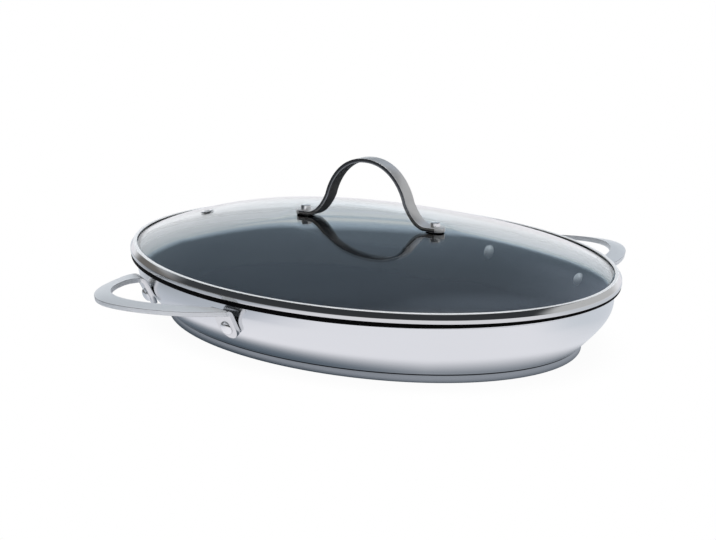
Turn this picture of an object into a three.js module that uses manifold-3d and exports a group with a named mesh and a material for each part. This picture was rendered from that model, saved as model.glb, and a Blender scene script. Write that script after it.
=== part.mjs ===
// Oval covered pan: a coated steel pan with two riveted side handles and a domed glass lid.
// Millimetres, +Z up, origin in the middle of the base underside.
// X runs through the two side handles, Y along the length of the oval.
import * as THREE from "three";
import { mergeVertices } from "three/addons/utils/BufferGeometryUtils.js";
import Module from "manifold-3d";

const wasm = await Module();
wasm.setup();

// The oval: the outer edge of the lid band.
const LID_HALF_WIDTH = 135;
const LID_HALF_LENGTH = 189;
const STRETCH = LID_HALF_LENGTH - LID_HALF_WIDTH;
const CORE_RADIUS = 60; // inside this radius the oval shrinks evenly to its middle
const SEGMENTS = 44;
const CLEAR = 0.3; // between curved or turned pieces
const SEAT = 0.1; // under a head that sits on a leaning face

// Base: an aluminium disc closed in by a steel cap.
const BASE_INSET = 24;
const BASE_HEIGHT = 5.2;
const CAP_THICK = 0.8;
const CAP_EDGE = 0.5;
const BASE_RADIUS = LID_HALF_WIDTH - BASE_INSET;

// Pan shell and its coating.
const WALL_THICK = 1.2;
const WALL_INSET = 4.6;
const FOOT_STEP = 1.4; // the foot of the wall stands this far outside the base
const PAN_HEIGHT = 37.7;
const LIP_REACH = 1.8;
const LIP_THICK = 1.5;
const COAT_THICK = 0.4;
const COAT_GAP = 0.15;
const COAT_BELOW_LIP = 3.7;
const WALL_RADIUS = LID_HALF_WIDTH - WALL_INSET;
const FOOT_RADIUS = BASE_RADIUS + FOOT_STEP;

// Lid: seal, band, glass.
const SEAL_THICK = 1.6;
const SEAL_DROP = 1.5; // the seal hangs this far outside the lip
const SEAL_INSET = 0.4;
const BAND_THICK = 0.6;
const BAND_GAP = 0.35;
const BAND_FLANGE = 4.2;
const GLASS_THICK = 4;
const DOME_RISE = 18.7;
const CROWN_RADIUS = 40;
const BAND_BOTTOM = PAN_HEIGHT + SEAL_THICK;
const BAND_HEIGHT = GLASS_THICK + 2 * (BAND_THICK + BAND_GAP);
const GLASS_BOTTOM = BAND_BOTTOM + BAND_THICK + BAND_GAP;
const GLASS_TOP = GLASS_BOTTOM + GLASS_THICK;
const CROWN_TOP = GLASS_TOP + DOME_RISE;

// Lid handle, its fasteners and the steam vent, all on one line across the lid.
const ARCH_TURN = THREE.MathUtils.degToRad(-66.5);
const ARCH_HALF_SPAN = 49.2;
const ARCH_HEIGHT = 38.5;
const ARCH_WIDTH = 9;
const ARCH_THICK = 2.5;
const FOOT_TIP = 6.3;
const WASHER_RADIUS = 5.6;
const WASHER_THICK = 0.7;
const SCREW_RADIUS = 2;
const SCREW_HEAD_RADIUS = 3.1;
const SCREW_HEAD_HEIGHT = 3;
const NUT_RADIUS = 4.6;
const NUT_HEIGHT = 6.5;
const VENT_AT = 129;
const VENT_HOLE = 1.6;
const VENT_TUBE = 2.5;
const VENT_FLANGE = 4.2;
const VENT_FLANGE_THICK = 0.7;

// Side handles: a flat loop whose two ends fold down against the wall.
const RIVET_Y = 52.4;
const RIVET_Z = 23.4;
const RIVET_RADIUS = 2.2;
const RIVET_HEAD = 4.4;
const RIVET_INNER_HEAD = 4.8;
const RIVET_DOME = 2.6;
const RIVET_INNER_DOME = 1.6;
const INNER_STAND = 1.8; // the flat inner head bridges the curve of the wall
const HANDLE_REACH = 46.6;
const HANDLE_TOP = 33.8;
const HANDLE_RISE = 1.4; // the tip of the loop sits this much higher than its roots
const STRAP_WIDTH = 10.6;
const STRAP_TILT = THREE.MathUtils.degToRad(10); // the outer edge of the loop is the lower one
const STRAP_THICK = 2.8;
const TAB_WIDTH = 16;
const TAB_DOWN = 7.5;
const FOLD_RADIUS = 3;
const FOLD_FLAT = 3;

function clean(geometry) {
  const bare = geometry.index ? geometry.toNonIndexed() : geometry.clone();
  bare.deleteAttribute("normal");
  bare.deleteAttribute("uv");
  const merged = mergeVertices(bare, 1e-4);
  const from = merged.index.array;
  const kept = [];
  for (let i = 0; i < from.length; i += 3) {
    const [a, b, c] = from.slice(i, i + 3);
    if (a !== b && b !== c && a !== c) kept.push(a, b, c);
  }
  return merged.setIndex(kept);
}

function solid(geometry) {
  const g = clean(geometry);
  const vertProperties = new Float32Array(g.attributes.position.array);
  const triVerts = new Uint32Array(g.index.array);
  return new wasm.Manifold(new wasm.Mesh({ numProp: 3, vertProperties, triVerts }));
}

function fromSolid(made) {
  const m = made.getMesh();
  const g = new THREE.BufferGeometry();
  g.setAttribute("position", new THREE.BufferAttribute(m.vertProperties.slice(), 3));
  g.setIndex(new THREE.BufferAttribute(m.triVerts.slice(), 1));
  const flat = g.toNonIndexed();
  flat.computeVertexNormals();
  return flat;
}

// How much longer than wide the oval is at a given half width.
function ovalLength(r) {
  return r + STRETCH * Math.min(1, r / CORE_RADIUS);
}

// A ring or disc with the oval's plan: profile points are [half width, height], anticlockwise.
function ovalRing(profile, closed) {
  const points = profile.map(([r, z]) => new THREE.Vector2(r, z));
  if (closed) points.push(points[0].clone());
  const g = new THREE.LatheGeometry(points, SEGMENTS).rotateX(Math.PI / 2);
  const p = g.attributes.position;
  for (let i = 0; i < p.count; i++) {
    const r = Math.hypot(p.getX(i), p.getY(i));
    if (r > 1e-6) p.setY(i, (p.getY(i) * ovalLength(r)) / r);
  }
  return clean(g);
}

// A round turned piece along its own +Z.
function turned(profile, closed, segments = 20) {
  const points = profile.map(([r, z]) => new THREE.Vector2(r, z));
  if (closed) points.push(points[0].clone());
  return clean(new THREE.LatheGeometry(points, segments).rotateX(Math.PI / 2));
}

function bezier(a, b, c, d, steps) {
  const [p, q, s, t] = [a, b, c, d].map(([x, y]) => new THREE.Vector2(x, y));
  return new THREE.CubicBezierCurve(p, q, s, t).getPoints(steps).map((v) => [v.x, v.y]);
}

// The line moved sideways by d, to the left of its direction.
function offset(line, d) {
  return line.map(([x, y], i) => {
    const [ax, ay] = line[Math.max(i - 1, 0)];
    const [bx, by] = line[Math.min(i + 1, line.length - 1)];
    const l = Math.hypot(bx - ax, by - ay);
    return [x - (d * (by - ay)) / l, y + (d * (bx - ax)) / l];
  });
}

function shapeOf(points) {
  return new THREE.Shape(points.map(([x, y]) => new THREE.Vector2(x, y)));
}

function extruded(points, depth) {
  return new THREE.ExtrudeGeometry(shapeOf(points), { depth, bevelEnabled: false });
}

// Height between the points of a rising line at a given radius, and the reverse.
function along(line, value, from, to) {
  const i = line.findIndex((p, k) => k > 0 && (p[from] - value) * (line[k - 1][from] - value) <= 0);
  const [a, b] = [line[i - 1], line[i]];
  return a[to] + ((b[to] - a[to]) * (value - a[from])) / (b[from] - a[from]);
}

// Pan shell: flat floor, a wall that curves up and out, a narrow lip.
const wallFoot = [FOOT_RADIUS, BASE_HEIGHT + 0.6];
const wallTop = [WALL_RADIUS, wallFoot[1] + 0.81 * (PAN_HEIGHT - LIP_THICK - wallFoot[1])];
const wallRise = wallTop[1] - wallFoot[1];
const wallRun = wallTop[0] - wallFoot[0];
const wallCurve = bezier(
  wallFoot,
  [wallFoot[0] + 0.65 * wallRun, wallFoot[1] + 0.44 * wallRise],
  [wallTop[0], wallTop[1] - 0.33 * wallRise],
  wallTop,
  7,
);
const wallLine = [...wallCurve, [WALL_RADIUS, PAN_HEIGHT - LIP_THICK - 0.6]];
const outside = [[0, BASE_HEIGHT], [FOOT_RADIUS - 0.9, BASE_HEIGHT], ...wallLine];
function inside(gap) {
  const wall = offset(wallLine, WALL_THICK + gap);
  const floor = BASE_HEIGHT + WALL_THICK + gap;
  return [[0, floor], [FOOT_RADIUS - 5, floor], ...wall];
}
const lipOuter = WALL_RADIUS + LIP_REACH;
const lipInner = WALL_RADIUS - WALL_THICK;
const lip = [
  [lipOuter - 0.5, PAN_HEIGHT - LIP_THICK],
  [lipOuter, PAN_HEIGHT - LIP_THICK + 0.5],
  [lipOuter, PAN_HEIGHT - 0.5],
  [lipOuter - 0.5, PAN_HEIGHT],
  [lipInner, PAN_HEIGHT],
];
const panShell = ovalRing([...outside, ...lip, ...inside(0).reverse()], false);

const coatTop = PAN_HEIGHT - COAT_BELOW_LIP;
function below(line, z) {
  return [...line.filter((p) => p[1] < z - 0.5), [along(line, z, 1, 0), z]];
}
const coatOut = below(inside(COAT_GAP), coatTop);
const coatIn = below(inside(COAT_GAP + COAT_THICK), coatTop);
const coating = ovalRing([...coatOut, ...coatIn.reverse()], false);

// Base disc and its cap.
const capInner = BASE_RADIUS - CAP_THICK;
const baseCap = ovalRing(
  [
    [0, 0],
    [BASE_RADIUS - CAP_EDGE, 0],
    [BASE_RADIUS, CAP_EDGE],
    [BASE_RADIUS, BASE_HEIGHT - CAP_EDGE],
    [BASE_RADIUS - CAP_EDGE, BASE_HEIGHT],
    [capInner, BASE_HEIGHT],
    [capInner, CAP_THICK],
    [0, CAP_THICK],
  ],
  false,
);
const coreRadius = capInner - CLEAR;
const baseCore = ovalRing(
  [
    [0, CAP_THICK],
    [coreRadius, CAP_THICK],
    [coreRadius, BASE_HEIGHT],
    [0, BASE_HEIGHT],
  ],
  false,
);

// Where a tab meets the wall: the point, and the directions out of, along and up the wall.
function tabFrame(sign) {
  const r = along(wallLine, RIVET_Z, 1, 0);
  const long = ovalLength(r);
  const y = sign * RIVET_Y;
  const x = r * Math.sqrt(1 - (y / long) ** 2);
  const out = new THREE.Vector3(x / r ** 2, y / long ** 2, 0).normalize();
  const side = new THREE.Vector3(-out.y, out.x, 0);
  const step = 2;
  const run = along(wallLine, RIVET_Z + step, 1, 0) - along(wallLine, RIVET_Z - step, 1, 0);
  const lean = Math.atan2(run, 2 * step);
  const up = new THREE.Vector3(0, 0, Math.cos(lean)).addScaledVector(out, Math.sin(lean));
  const normal = new THREE.Vector3(0, 0, -Math.sin(lean)).addScaledVector(out, Math.cos(lean));
  return { at: new THREE.Vector3(x, y, RIVET_Z), out, side, up, normal, lean };
}

function placed(ex, ey, ez, at) {
  return new THREE.Matrix4().makeBasis(ex, ey, ez).setPosition(at);
}

// The rivet's own frame: +Z out of the wall.
function rivetPlace(f) {
  return placed(f.side, f.up, f.normal, f.at);
}

function rivetHole(f) {
  const r = RIVET_RADIUS + CLEAR;
  const g = turned([[0, -8], [r, -8], [r, 8], [0, 8]], false, 16);
  return g.applyMatrix4(rivetPlace(f));
}

const innerSeat = -(WALL_THICK + COAT_GAP + COAT_THICK + INNER_STAND);
const outerSeat = CLEAR + STRAP_THICK + SEAT;
function rivet() {
  const inner = [0.35, 0.75, 1].map((s) => [
    RIVET_INNER_HEAD * Math.sin((s * Math.PI) / 2),
    innerSeat - RIVET_INNER_DOME * Math.cos((s * Math.PI) / 2),
  ]);
  const outer = [1, 0.72, 0.4].map((s) => [
    RIVET_HEAD * Math.sin((s * Math.PI) / 2),
    outerSeat + RIVET_DOME * Math.cos((s * Math.PI) / 2),
  ]);
  const profile = [
    [0, innerSeat - RIVET_INNER_DOME],
    ...inner,
    [RIVET_RADIUS, innerSeat],
    [RIVET_RADIUS, outerSeat],
    ...outer,
    [0, outerSeat + RIVET_DOME],
  ];
  return turned(profile, false, 16);
}

// One folded end of a handle: a tab on the wall, a bend, and a short flat that meets the loop.
function foldedEnd(f) {
  const across = new THREE.Vector2(Math.cos(f.lean), -Math.sin(f.lean));
  const upward = new THREE.Vector2(Math.sin(f.lean), Math.cos(f.lean));
  const mid = HANDLE_TOP - STRAP_THICK / 2 - RIVET_Z;
  const stand = CLEAR + STRAP_THICK / 2;
  const rise = mid + (stand + FOLD_RADIUS) * Math.sin(f.lean) - FOLD_RADIUS;
  const tabUp = rise / Math.cos(f.lean);
  const low = across.clone().multiplyScalar(stand).addScaledVector(upward, -TAB_DOWN - 4);
  const high = across.clone().multiplyScalar(stand).addScaledVector(upward, tabUp);
  const centre = high.clone().addScaledVector(across, FOLD_RADIUS);
  const line = [[low.x, low.y]];
  const start = Math.PI - f.lean;
  for (let k = 0; k <= 5; k++) {
    const a = start + ((Math.PI / 2 - start) * k) / 5;
    line.push([centre.x + FOLD_RADIUS * Math.cos(a), centre.y + FOLD_RADIUS * Math.sin(a)]);
  }
  const flatStart = centre.x;
  line.push([flatStart + FOLD_FLAT, line[line.length - 1][1]]);
  const half = STRAP_THICK / 2;
  const outline = [...offset(line, -half), ...offset(line, half).reverse()];
  const fold = extruded(outline, TAB_WIDTH).translate(0, 0, -TAB_WIDTH / 2);
  fold.applyMatrix4(placed(f.out, new THREE.Vector3(0, 0, 1), f.side.clone().negate(), f.at));
  const w = TAB_WIDTH / 2;
  const plate = new THREE.Shape();
  plate.moveTo(-w, 60);
  plate.lineTo(-w, 0);
  plate.absellipse(0, 0, w, TAB_DOWN, Math.PI, 2 * Math.PI, false);
  plate.lineTo(w, 60);
  const trim = new THREE.ExtrudeGeometry(plate, { depth: 80, bevelEnabled: false, curveSegments: 8 });
  trim.translate(0, 0, -40).applyMatrix4(placed(f.side, f.up, f.normal, f.at));
  const root = f.at.clone().addScaledVector(f.out, flatStart + FOLD_FLAT / 2);
  return { body: solid(fold).intersect(solid(trim)), root };
}

// The flat loop with its outer edge bent down and its inner edge up, less and less towards the roots.
function tilted(loop, outer, inner) {
  const bend = (line, most) =>
    line.map(([x, y], i) => {
      const fromRoot = Math.min(i, line.length - 1 - i) / line.length;
      return { x, y, dz: most * Math.min(1, fromRoot / 0.2) };
    });
  const most = (STRAP_WIDTH / 2) * Math.tan(STRAP_TILT);
  const edges = [...bend(outer, -most), ...bend(inner, most)];
  const p = loop.attributes.position;
  for (let i = 0; i < p.count; i++) {
    const away = (e) => Math.hypot(e.x - p.getX(i), e.y - p.getY(i));
    const edge = edges.reduce((a, b) => (away(b) < away(a) ? b : a));
    p.setZ(i, p.getZ(i) + edge.dz);
  }
  return loop;
}

// A whole side handle on the +X side.
const frames = [tabFrame(1), tabFrame(-1)];
const ends = frames.map(foldedEnd);
function sideHandle() {
  const { root } = ends[0];
  const tip = LID_HALF_WIDTH + HANDLE_REACH;
  const w = TAB_WIDTH / 2;
  const side = frames[0].side;
  const outerRoot = [root.x + w * side.x, root.y + w * side.y];
  const innerRoot = [root.x - w * side.x, root.y - w * side.y];
  const far = tip - root.x;
  const outer = bezier(
    outerRoot,
    [root.x + 0.32 * far, outerRoot[1] * 0.89],
    [tip, outerRoot[1] * 0.43],
    [tip, 0],
    8,
  );
  const tipIn = tip - STRAP_WIDTH;
  const inner = bezier(
    innerRoot,
    [root.x + 0.29 * far, innerRoot[1] * 0.91],
    [tipIn, innerRoot[1] * 0.47],
    [tipIn, 0],
    8,
  );
  const mirrored = (line) => line.slice(0, -1).reverse().map(([x, y]) => [x, -y]);
  const loopOuter = [...outer, ...mirrored(outer)];
  const loopInner = [...inner, ...mirrored(inner)];
  const loop = tilted(extruded([...loopOuter, ...loopInner.reverse()], STRAP_THICK), loopOuter, loopInner);
  const slope = HANDLE_RISE / far;
  loop.applyMatrix4(new THREE.Matrix4().makeShear(0, slope, 0, 0, 0, 0));
  loop.translate(0, 0, HANDLE_TOP - STRAP_THICK - slope * root.x);
  let made = solid(loop);
  for (const end of ends) made = made.add(end.body);
  for (const f of frames) made = made.subtract(solid(rivetHole(f)));
  return fromSolid(made);
}

// Holes for the four rivets through the shell and the coating.
const halfTurn = new THREE.Matrix4().makeRotationZ(Math.PI);
function riveted(geometry) {
  let made = solid(geometry);
  for (const f of frames) {
    made = made.subtract(solid(rivetHole(f)));
    made = made.subtract(solid(rivetHole(f).applyMatrix4(halfTurn)));
  }
  return fromSolid(made);
}

// Lid seal and band.
const sealOuter = LID_HALF_WIDTH - SEAL_INSET;
const sealInner = lipInner - 0.8;
const seal = ovalRing(
  [
    [sealInner, PAN_HEIGHT],
    [lipOuter + CLEAR, PAN_HEIGHT],
    [lipOuter + CLEAR, PAN_HEIGHT - SEAL_DROP],
    [sealOuter, PAN_HEIGHT - SEAL_DROP],
    [sealOuter, BAND_BOTTOM],
    [sealInner, BAND_BOTTOM],
  ],
  true,
);
const bandTop = BAND_BOTTOM + BAND_HEIGHT;
const flange = LID_HALF_WIDTH - BAND_FLANGE;
const bandIn = LID_HALF_WIDTH - BAND_THICK;
const band = ovalRing(
  [
    [flange, BAND_BOTTOM],
    [LID_HALF_WIDTH - 0.4, BAND_BOTTOM],
    [LID_HALF_WIDTH, BAND_BOTTOM + 0.4],
    [LID_HALF_WIDTH, bandTop - 0.8],
    [LID_HALF_WIDTH - 0.8, bandTop],
    [flange, bandTop],
    [flange, bandTop - BAND_THICK],
    [bandIn, bandTop - BAND_THICK],
    [bandIn, BAND_BOTTOM + BAND_THICK],
    [flange, BAND_BOTTOM + BAND_THICK],
  ],
  true,
);

// Glass: a flat edge inside the band, a curved shoulder and a flat crown.
const glassEdge = bandIn - CLEAR;
const brim = flange - 0.6;
const shoulder = bezier(
  [brim, GLASS_TOP],
  [brim - 0.18 * (brim - CROWN_RADIUS), GLASS_TOP + 0.374 * DOME_RISE],
  [CROWN_RADIUS + 0.29 * (brim - CROWN_RADIUS), CROWN_TOP - 0.046 * DOME_RISE],
  [CROWN_RADIUS, CROWN_TOP],
  8,
);
const glassUpper = [[glassEdge, GLASS_TOP], ...shoulder, [0, CROWN_TOP]];
const under = offset(shoulder, GLASS_THICK).filter(([r, z]) => r < flange - 2 && z > GLASS_BOTTOM + 0.3);
under[under.length - 1] = [CROWN_RADIUS, CROWN_TOP - GLASS_THICK];
const glassLower = [[0, CROWN_TOP - GLASS_THICK], ...under.reverse()];
const glassFoot = [
  [glassLower[glassLower.length - 1][0] + 1.2, GLASS_BOTTOM],
  [glassEdge, GLASS_BOTTOM],
];
const glassRing = ovalRing([...glassLower, ...glassFoot, ...glassUpper], false);

const archLine = new THREE.Vector3(Math.cos(ARCH_TURN), Math.sin(ARCH_TURN), 0);
const fastenerAt = [-1, 1].map((s) => archLine.clone().multiplyScalar(s * ARCH_HALF_SPAN));

// The vent's frame: its place on the glass and the direction out of the glass there.
function ventPlace() {
  const { x, y } = archLine.clone().multiplyScalar(-VENT_AT);
  const radiusAt = (px, py) => {
    let [low, high] = [1, LID_HALF_WIDTH];
    for (let k = 0; k < 40; k++) {
      const mid = (low + high) / 2;
      if ((px / mid) ** 2 + (py / ovalLength(mid)) ** 2 > 1) low = mid;
      else high = mid;
    }
    return low;
  };
  const height = (px, py) => along(glassUpper, radiusAt(px, py), 0, 1);
  const slopeX = (height(x + 3, y) - height(x - 3, y)) / 6;
  const slopeY = (height(x, y + 3) - height(x, y - 3)) / 6;
  const out = new THREE.Vector3(-slopeX, -slopeY, 1).normalize();
  const side = new THREE.Vector3(1, 0, slopeX).normalize();
  const up = out.clone().cross(side);
  return placed(side, up, out, new THREE.Vector3(x, y, height(x, y)));
}
const ventAt = ventPlace();

function drilledGlass() {
  let made = solid(glassRing);
  const r = SCREW_RADIUS + CLEAR;
  for (const at of fastenerAt) {
    const hole = turned([[0, 0], [r, 0], [r, 2 * CROWN_TOP], [0, 2 * CROWN_TOP]], false, 16);
    made = made.subtract(solid(hole.translate(at.x, at.y, 0)));
  }
  const v = VENT_TUBE + CLEAR;
  const drill = turned([[0, -12], [v, -12], [v, 12], [0, 12]], false, 16);
  return fromSolid(made.subtract(solid(drill.applyMatrix4(ventAt))));
}

// Lid handle: side profile swept across its width, ends rounded in plan.
const footBottom = CROWN_TOP + WASHER_THICK;
function archStrap() {
  const end = ARCH_HALF_SPAN + FOOT_TIP;
  const mid = footBottom + ARCH_THICK / 2;
  const bend = ARCH_HALF_SPAN - SCREW_HEAD_RADIUS - 1.5;
  const top = footBottom + ARCH_HEIGHT - ARCH_THICK / 2;
  const rise = top - mid;
  const knee = [ARCH_HALF_SPAN * 0.6, mid + 0.36 * rise];
  const lower = bezier([bend, mid], [bend - 6, mid], [knee[0] + 3.6, knee[1] - 0.2 * rise], knee, 6);
  const upper = bezier(
    knee,
    [knee[0] - 3.5, knee[1] + 0.33 * rise],
    [ARCH_HALF_SPAN * 0.33, top],
    [0, top],
    8,
  );
  const right = [[end, mid], ...lower, ...upper.slice(1)];
  const left = right.slice(0, -1).reverse().map(([x, y]) => [-x, y]);
  const line = [...right, ...left];
  const t = ARCH_THICK / 2;
  const outline = [...offset(line, -t), ...offset(line, t).reverse()];
  const w = ARCH_WIDTH / 2;
  const strap = extruded(outline, ARCH_WIDTH).translate(0, 0, -w).rotateX(Math.PI / 2);
  const plan = new THREE.Shape();
  plan.absarc(end - w, 0, w, -Math.PI / 2, Math.PI / 2, false);
  plan.absarc(w - end, 0, w, Math.PI / 2, 1.5 * Math.PI, false);
  const depth = 3 * CROWN_TOP;
  const trim = new THREE.ExtrudeGeometry(plan, { depth, bevelEnabled: false, curveSegments: 10 });
  let made = solid(strap).intersect(solid(trim));
  const r = SCREW_RADIUS + CLEAR;
  for (const s of [-1, 1]) {
    const hole = turned([[0, 0], [r, 0], [r, footBottom + 8], [0, footBottom + 8]], false, 16);
    made = made.subtract(solid(hole.translate(s * ARCH_HALF_SPAN, 0, 0)));
  }
  return fromSolid(made);
}

const lowerWasherTop = CROWN_TOP - GLASS_THICK;
const nutTop = lowerWasherTop - WASHER_THICK;
const screwSeat = footBottom + ARCH_THICK;
const screwEnd = nutTop - NUT_HEIGHT + 2.2;
function screw() {
  const h = screwSeat + SCREW_HEAD_HEIGHT;
  return turned(
    [
      [0, screwEnd],
      [SCREW_RADIUS, screwEnd],
      [SCREW_RADIUS, screwSeat],
      [SCREW_HEAD_RADIUS, screwSeat],
      [SCREW_HEAD_RADIUS, h - 0.4],
      [SCREW_HEAD_RADIUS - 0.4, h],
      [0, h],
    ],
    false,
  );
}

function washer(bottom) {
  const r = SCREW_RADIUS + CLEAR;
  const top = bottom + WASHER_THICK;
  return turned([[r, bottom], [WASHER_RADIUS, bottom], [WASHER_RADIUS, top], [r, top]], true);
}

function capNut() {
  const r = SCREW_RADIUS + CLEAR;
  const low = nutTop - NUT_HEIGHT;
  return turned(
    [
      [0, low],
      [NUT_RADIUS * 0.55, low + 0.35],
      [NUT_RADIUS * 0.88, low + 1.6],
      [NUT_RADIUS, low + 3.2],
      [NUT_RADIUS, nutTop],
      [r, nutTop],
      [r, screwEnd - CLEAR],
      [0, screwEnd - CLEAR],
    ],
    false,
  );
}

function ventEyelet() {
  const top = SEAT + 0.15;
  const low = -GLASS_THICK - SEAT - 0.15;
  const t = VENT_FLANGE_THICK;
  return turned(
    [
      [VENT_HOLE, low - t],
      [VENT_FLANGE, low - t],
      [VENT_FLANGE, low],
      [VENT_TUBE, low],
      [VENT_TUBE, top],
      [VENT_FLANGE, top],
      [VENT_FLANGE - 0.4, top + t],
      [VENT_HOLE, top + t],
    ],
    true,
  );
}

const STEEL = { color: 0xc9ccd0, roughness: 0.22, metalness: 1 };
const SATIN = { color: 0xb4b7bb, roughness: 0.38, metalness: 1 };
const BASE_STEEL = { color: 0x8e939a, roughness: 0.4, metalness: 1 };
const ALUMINIUM = { color: 0xb9bcc0, roughness: 0.5, metalness: 1 };
const COAT = { color: 0x3b444d, roughness: 0.5, metalness: 0 };
const RUBBER = { color: 0x0b0b0c, roughness: 0.6, metalness: 0 };
const GLASS = { color: 0xdfe9ee, roughness: 0.04, metalness: 0, transparent: true, opacity: 0.3 };

const pan = new THREE.Group();
pan.name = "pan";
const lid = new THREE.Group();
lid.name = "lid";

function mesh(name, geometry, look, group) {
  const made = new THREE.Mesh(geometry, new THREE.MeshStandardMaterial(look));
  made.name = name;
  made.castShadow = true;
  group.add(made);
  return made;
}

mesh("pan_body", riveted(panShell), STEEL, pan);
mesh("nonstick_coating", riveted(coating), COAT, pan);
mesh("base_core", baseCore, ALUMINIUM, pan);
mesh("base_cap", baseCap, BASE_STEEL, pan);

const handleGeometry = sideHandle();
mesh("handle_right", handleGeometry, SATIN, pan);
mesh("handle_left", handleGeometry.clone().applyMatrix4(halfTurn), SATIN, pan);
const rivetNames = ["rivet_right_rear", "rivet_right_front", "rivet_left_front", "rivet_left_rear"];
rivetNames.forEach((name, i) => {
  const g = rivet().applyMatrix4(rivetPlace(frames[i % 2]));
  mesh(name, i < 2 ? g : g.applyMatrix4(halfTurn), STEEL, pan);
});

mesh("lid_seal", seal, RUBBER, lid);
mesh("lid_band", band, STEEL, lid);
mesh("lid_glass", drilledGlass(), GLASS, lid);
const arch = mesh("lid_handle", archStrap(), SATIN, lid);
arch.rotation.z = ARCH_TURN;
["rear", "front"].forEach((end, i) => {
  const at = fastenerAt[i];
  mesh("screw_" + end, screw(), STEEL, lid).position.copy(at);
  mesh("upper_washer_" + end, washer(CROWN_TOP), RUBBER, lid).position.copy(at);
  mesh("lower_washer_" + end, washer(nutTop), RUBBER, lid).position.copy(at);
  mesh("cap_nut_" + end, capNut(), STEEL, lid).position.copy(at);
});
mesh("vent_eyelet", ventEyelet().applyMatrix4(ventAt), STEEL, lid);

const root = new THREE.Group();
root.name = "oval_covered_pan";
root.add(pan, lid);
export default root;
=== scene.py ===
import math

import bpy
from mathutils import Matrix, Vector


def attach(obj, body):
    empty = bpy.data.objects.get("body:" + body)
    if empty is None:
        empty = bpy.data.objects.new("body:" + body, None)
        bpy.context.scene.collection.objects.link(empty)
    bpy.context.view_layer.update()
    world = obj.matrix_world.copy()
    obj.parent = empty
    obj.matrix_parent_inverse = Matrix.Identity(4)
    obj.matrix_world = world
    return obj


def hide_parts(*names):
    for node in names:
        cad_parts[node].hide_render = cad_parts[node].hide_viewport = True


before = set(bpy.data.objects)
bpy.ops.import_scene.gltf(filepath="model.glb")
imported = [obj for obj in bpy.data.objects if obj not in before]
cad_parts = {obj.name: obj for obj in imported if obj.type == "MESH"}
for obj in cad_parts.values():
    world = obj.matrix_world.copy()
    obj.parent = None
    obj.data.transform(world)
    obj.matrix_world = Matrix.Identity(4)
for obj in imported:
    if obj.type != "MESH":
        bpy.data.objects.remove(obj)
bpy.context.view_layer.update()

MM = 0.001
AHEAD = (0.496, 0.868, 0)       # the photo's view direction in plan
ASIDE = (0.868, -0.496, 0)      # and its right

# Sizes in millimetres. The origin is the middle of the base underside. They follow the part's source; the
# soft edges, the arch's height, the inner rivet heads and the seal's drop are fitted to the photo instead.
CLEAR = 0.3             # between curved or turned pieces
STRETCH = 54            # the oval is this much longer than wide, half and half
CORE = 60               # inside this half width it shrinks evenly to its middle
RING_STEPS = 288        # round the oval

BASE_RADIUS = 111
BASE_HEIGHT = 5.2
BASE_FILLET = 0.9       # its lower edge
BASE_EDGE = 0.5         # its upper edge
FLOOR_RING = 95         # a ring in the flat floor of the pan
FLOOR_CORNER = 6        # the floor bends up within this distance from the foot
FOOT_RADIUS = 112.4
FOOT_RISE = 0.6         # the wall starts this far above the base
WALL_RADIUS = 130.4
WALL_THICK = 1.2
WALL_CURVED = 0.81      # the share of the wall's height that is curved
PAN_HEIGHT = 37.7
LIP_REACH = 1.8
LIP_THICK = 1.5
LIP_HOLLOW = 0.6        # between the wall and the lip
LIP_EDGE = 0.5
COAT_GAP = 0.15
COAT_THICK = 0.4
COAT_TOP = 34
COAT_TAPER = 2.5        # it gets thinner within this distance from its edge
COAT_FADE = 1.6         # and its colour fades within this one

LID_RADIUS = 135
SEAL_RADIUS = 134.6
SEAL_REACH = 0.8        # inside the lip
SEAL_GAP = 0.1          # above the lip
SEAL_EDGE = 0.4
SEAL_DROP = 1.2         # it hangs this far down outside the lip
SEAL_PRESSED = 1.2      # and is pressed up again by this much on the photo's right,
PRESSED_FROM = -20      # starting here
PRESSED_OVER = 150      # and fully from this distance on
BAND_BOTTOM = 39.3
BAND_TOP = 45.2
BAND_FLANGE = 4.2
BAND_THICK = 0.6
BAND_FILLET = 0.6       # its lower edge
BAND_NECK = 41.5        # the band stands upright up to here and leans inwards above it
BAND_BEND = 1.2         # the radius of that bend
BAND_INSET = 1.65       # how far inwards it leans
BAND_BEAD = 1.05        # its rounded top
BAND_INNER_EDGE = 0.3
GLASS_THICK = 4
GLASS_TOP = 44.25
BRIM_INSET = 0.6        # the dome starts this far inside the band
CROWN_TOP = 62.95
CROWN_RADIUS = 40
CROWN_BULGE = 0.66      # the crown is not quite flat: it meets the shoulder without a crease
CROWN_FALL = 0.26       # so that the washers still sit at its nominal height

ARCH_TURN = math.radians(-66.5)
ARCH_SPAN = 49.2        # half the distance between the two screws
ARCH_HEIGHT = 40
ARCH_WIDTH = 9
ARCH_THICK = 2.5
ARCH_BEVEL = 0.75
FOOT_TIP = 6.3          # from the screw to the end of the strap
FOOT_FLAT = 1.5         # from the screw's head to the bend
WASHER_RADIUS = 5.6
WASHER_THICK = 0.7
WASHER_EDGE = 0.3
SCREW_RADIUS = 2
SCREW_HEAD = 3.1
SCREW_HEIGHT = 3
SCREW_EDGE = 0.45
NUT_RADIUS = 4.6
NUT_HEIGHT = 6.5
NUT_DOME = 3.2
NUT_CAP = 2.2           # its closed end
VENT_AT = 129
VENT_EYE = 1.6
VENT_EYE_EDGE = 0.4
VENT_TUBE = 2.5
VENT_HOLE = 2.8         # in the glass
VENT_RIM = 4.2
VENT_RIM_THICK = 0.7
VENT_GAP = 0.25         # between the rims and the glass

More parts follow.
